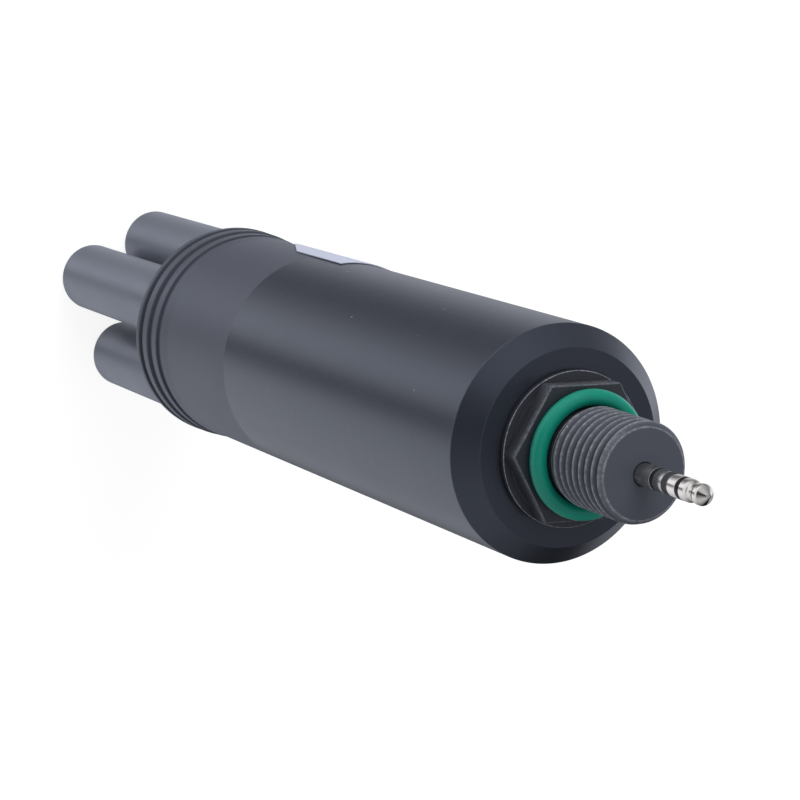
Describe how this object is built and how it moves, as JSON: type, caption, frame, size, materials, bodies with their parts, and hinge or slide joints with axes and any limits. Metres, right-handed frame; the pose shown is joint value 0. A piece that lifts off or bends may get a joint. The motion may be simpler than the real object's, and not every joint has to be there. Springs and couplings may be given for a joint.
{
  "type": "ammonia nitrogen sensor",
  "caption": "Slender round water sensor: electrodes in a grooved head, a plain barrel, and a tail with hexagon, seal ring, outside thread and jack plug.",
  "frame": {"origin": "on the sensor's axis, in the plane of the electrodes' tips", "axes": "+Z along the axis from the electrodes to the jack plug; the electrodes stand near +X, +Y, -X and -Y; the sticker faces +Y"},
  "size_m": [0.0396, 0.0396, 0.206],
  "materials": {
    "barrel_plastic": "satin, turned",
    "head_plastic": "satin, turned",
    "tail_plastic": "satin, turned and milled",
    "electrode_plastic": "satin",
    "green_rubber": "smooth",
    "black_rubber": "smooth",
    "black_plastic": "glossy",
    "chromed_brass": "polished plating on brass",
    "dull_metal": "worn plating",
    "steel": "satin",
    "silver": "drawn silver wire",
    "gold": "gold-plated contact",
    "membrane": "smooth membrane",
    "ceramic": "porous",
    "glass": "clear",
    "circuit_board": "solder mask",
    "cream_plastic": "moulded",
    "sticker_paper": "smooth, unprinted",
    "red_wire": "wire insulation",
    "white_wire": "wire insulation",
    "yellow_wire": "wire insulation",
    "black_wire": "wire insulation"
  },
  "bodies": {
    "root": {"housing_tube": "barrel_plastic", "sensor_head": "head_plastic", "head_o_ring_1": "black_rubber", "head_o_ring_2": "black_rubber", "ammonium_electrode": "electrode_plastic", "ammonium_inner_electrode": "silver", "ammonium_membrane": "membrane", "ammonium_o_ring": "black_rubber", "ammonium_socket": "gold", "potassium_electrode": "electrode_plastic", "potassium_inner_electrode": "silver", "potassium_membrane": "membrane", "potassium_o_ring": "black_rubber", "potassium_socket": "gold", "ph_electrode": "electrode_plastic", "ph_inner_electrode": "silver", "ph_glass_bulb": "glass", "ph_o_ring": "black_rubber", "ph_socket": "gold", "reference_electrode": "electrode_plastic", "reference_inner_electrode": "silver", "reference_junction": "ceramic", "reference_o_ring": "black_rubber", "reference_socket": "gold", "temperature_probe": "steel", "thermistor": "black_plastic", "contact_board": "circuit_board", "main_board": "circuit_board", "lower_board_holder": "black_plastic", "upper_board_holder": "black_plastic", "processor": "black_plastic", "amplifier": "black_plastic", "power_module": "black_plastic", "electrode_header": "cream_plastic", "jack_header": "cream_plastic", "ribbon_cable": "cream_plastic", "tail_connector": "tail_plastic", "green_o_ring": "green_rubber", "flange_seal": "black_rubber", "tail_nut": "steel", "jack_tip": "chromed_brass", "jack_ring_1": "chromed_brass", "jack_ring_2": "dull_metal", "jack_sleeve": "dull_metal", "jack_insulator_1": "black_plastic", "jack_insulator_2": "black_plastic", "jack_insulator_3": "black_plastic", "jack_wire_1": "red_wire", "jack_wire_2": "white_wire", "jack_wire_3": "yellow_wire", "jack_wire_4": "black_wire", "sticker": "sticker_paper"}
  },
  "joints": []
}
